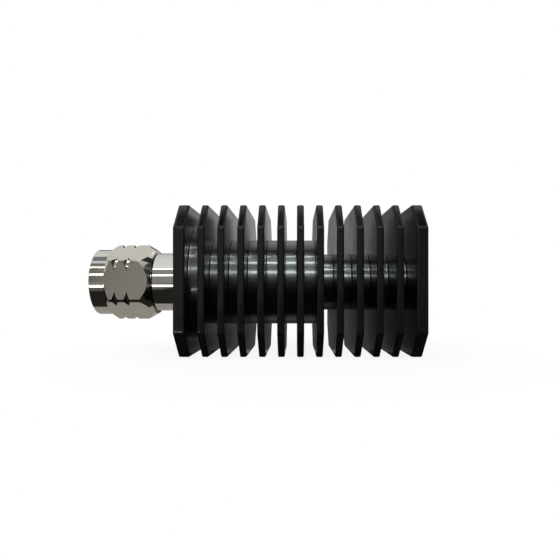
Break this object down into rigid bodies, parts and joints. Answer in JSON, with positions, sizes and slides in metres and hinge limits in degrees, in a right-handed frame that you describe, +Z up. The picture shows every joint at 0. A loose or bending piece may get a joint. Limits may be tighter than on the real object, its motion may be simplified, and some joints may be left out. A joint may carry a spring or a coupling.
{
  "type": "rf dummy load",
  "caption": "Coaxial dummy load: a square finned black heat sink with cut corners on a stepped core, and a threaded plug with a hexagonal coupling nut that spins on its neck.",
  "frame": {"origin": "centre of the plug's mating plane, at the front edge of the outer contact", "axes": "+X along the plug's axis towards the heat sink's rear end, +Z up, with the part resting on the lower flats of its fins"},
  "size_m": [0.0896, 0.04, 0.04],
  "materials": {
    "black_anodised": "satin",
    "stainless": "polished",
    "spring_steel": "satin",
    "silicone": "matte",
    "white_bronze": "polished",
    "gold_plate": "polished",
    "ptfe": "satin",
    "alumina": "matte",
    "bare_brass": "satin"
  },
  "bodies": {
    "load_body": {"heat_sink": "black_anodised", "connector_body": "stainless", "retaining_ring": "spring_steel", "face_gasket": "silicone", "outer_contact": "white_bronze", "centre_pin": "gold_plate", "support_bead": "ptfe", "front_cap": "white_bronze", "resistor_rod": "alumina", "rear_cap": "white_bronze", "load_sleeve": "bare_brass", "ground_plug": "bare_brass", "disc_spring": "spring_steel"},
    "coupling_nut": {"coupling_nut": "stainless"}
  },
  "joints": [
    {"name": "coupling_nut_spin", "type": "hinge", "parent": "load_body", "child": "coupling_nut", "pos_m": [0.013, 0, 0], "axis": [1, 0, 0], "continuous": true}
  ]
}
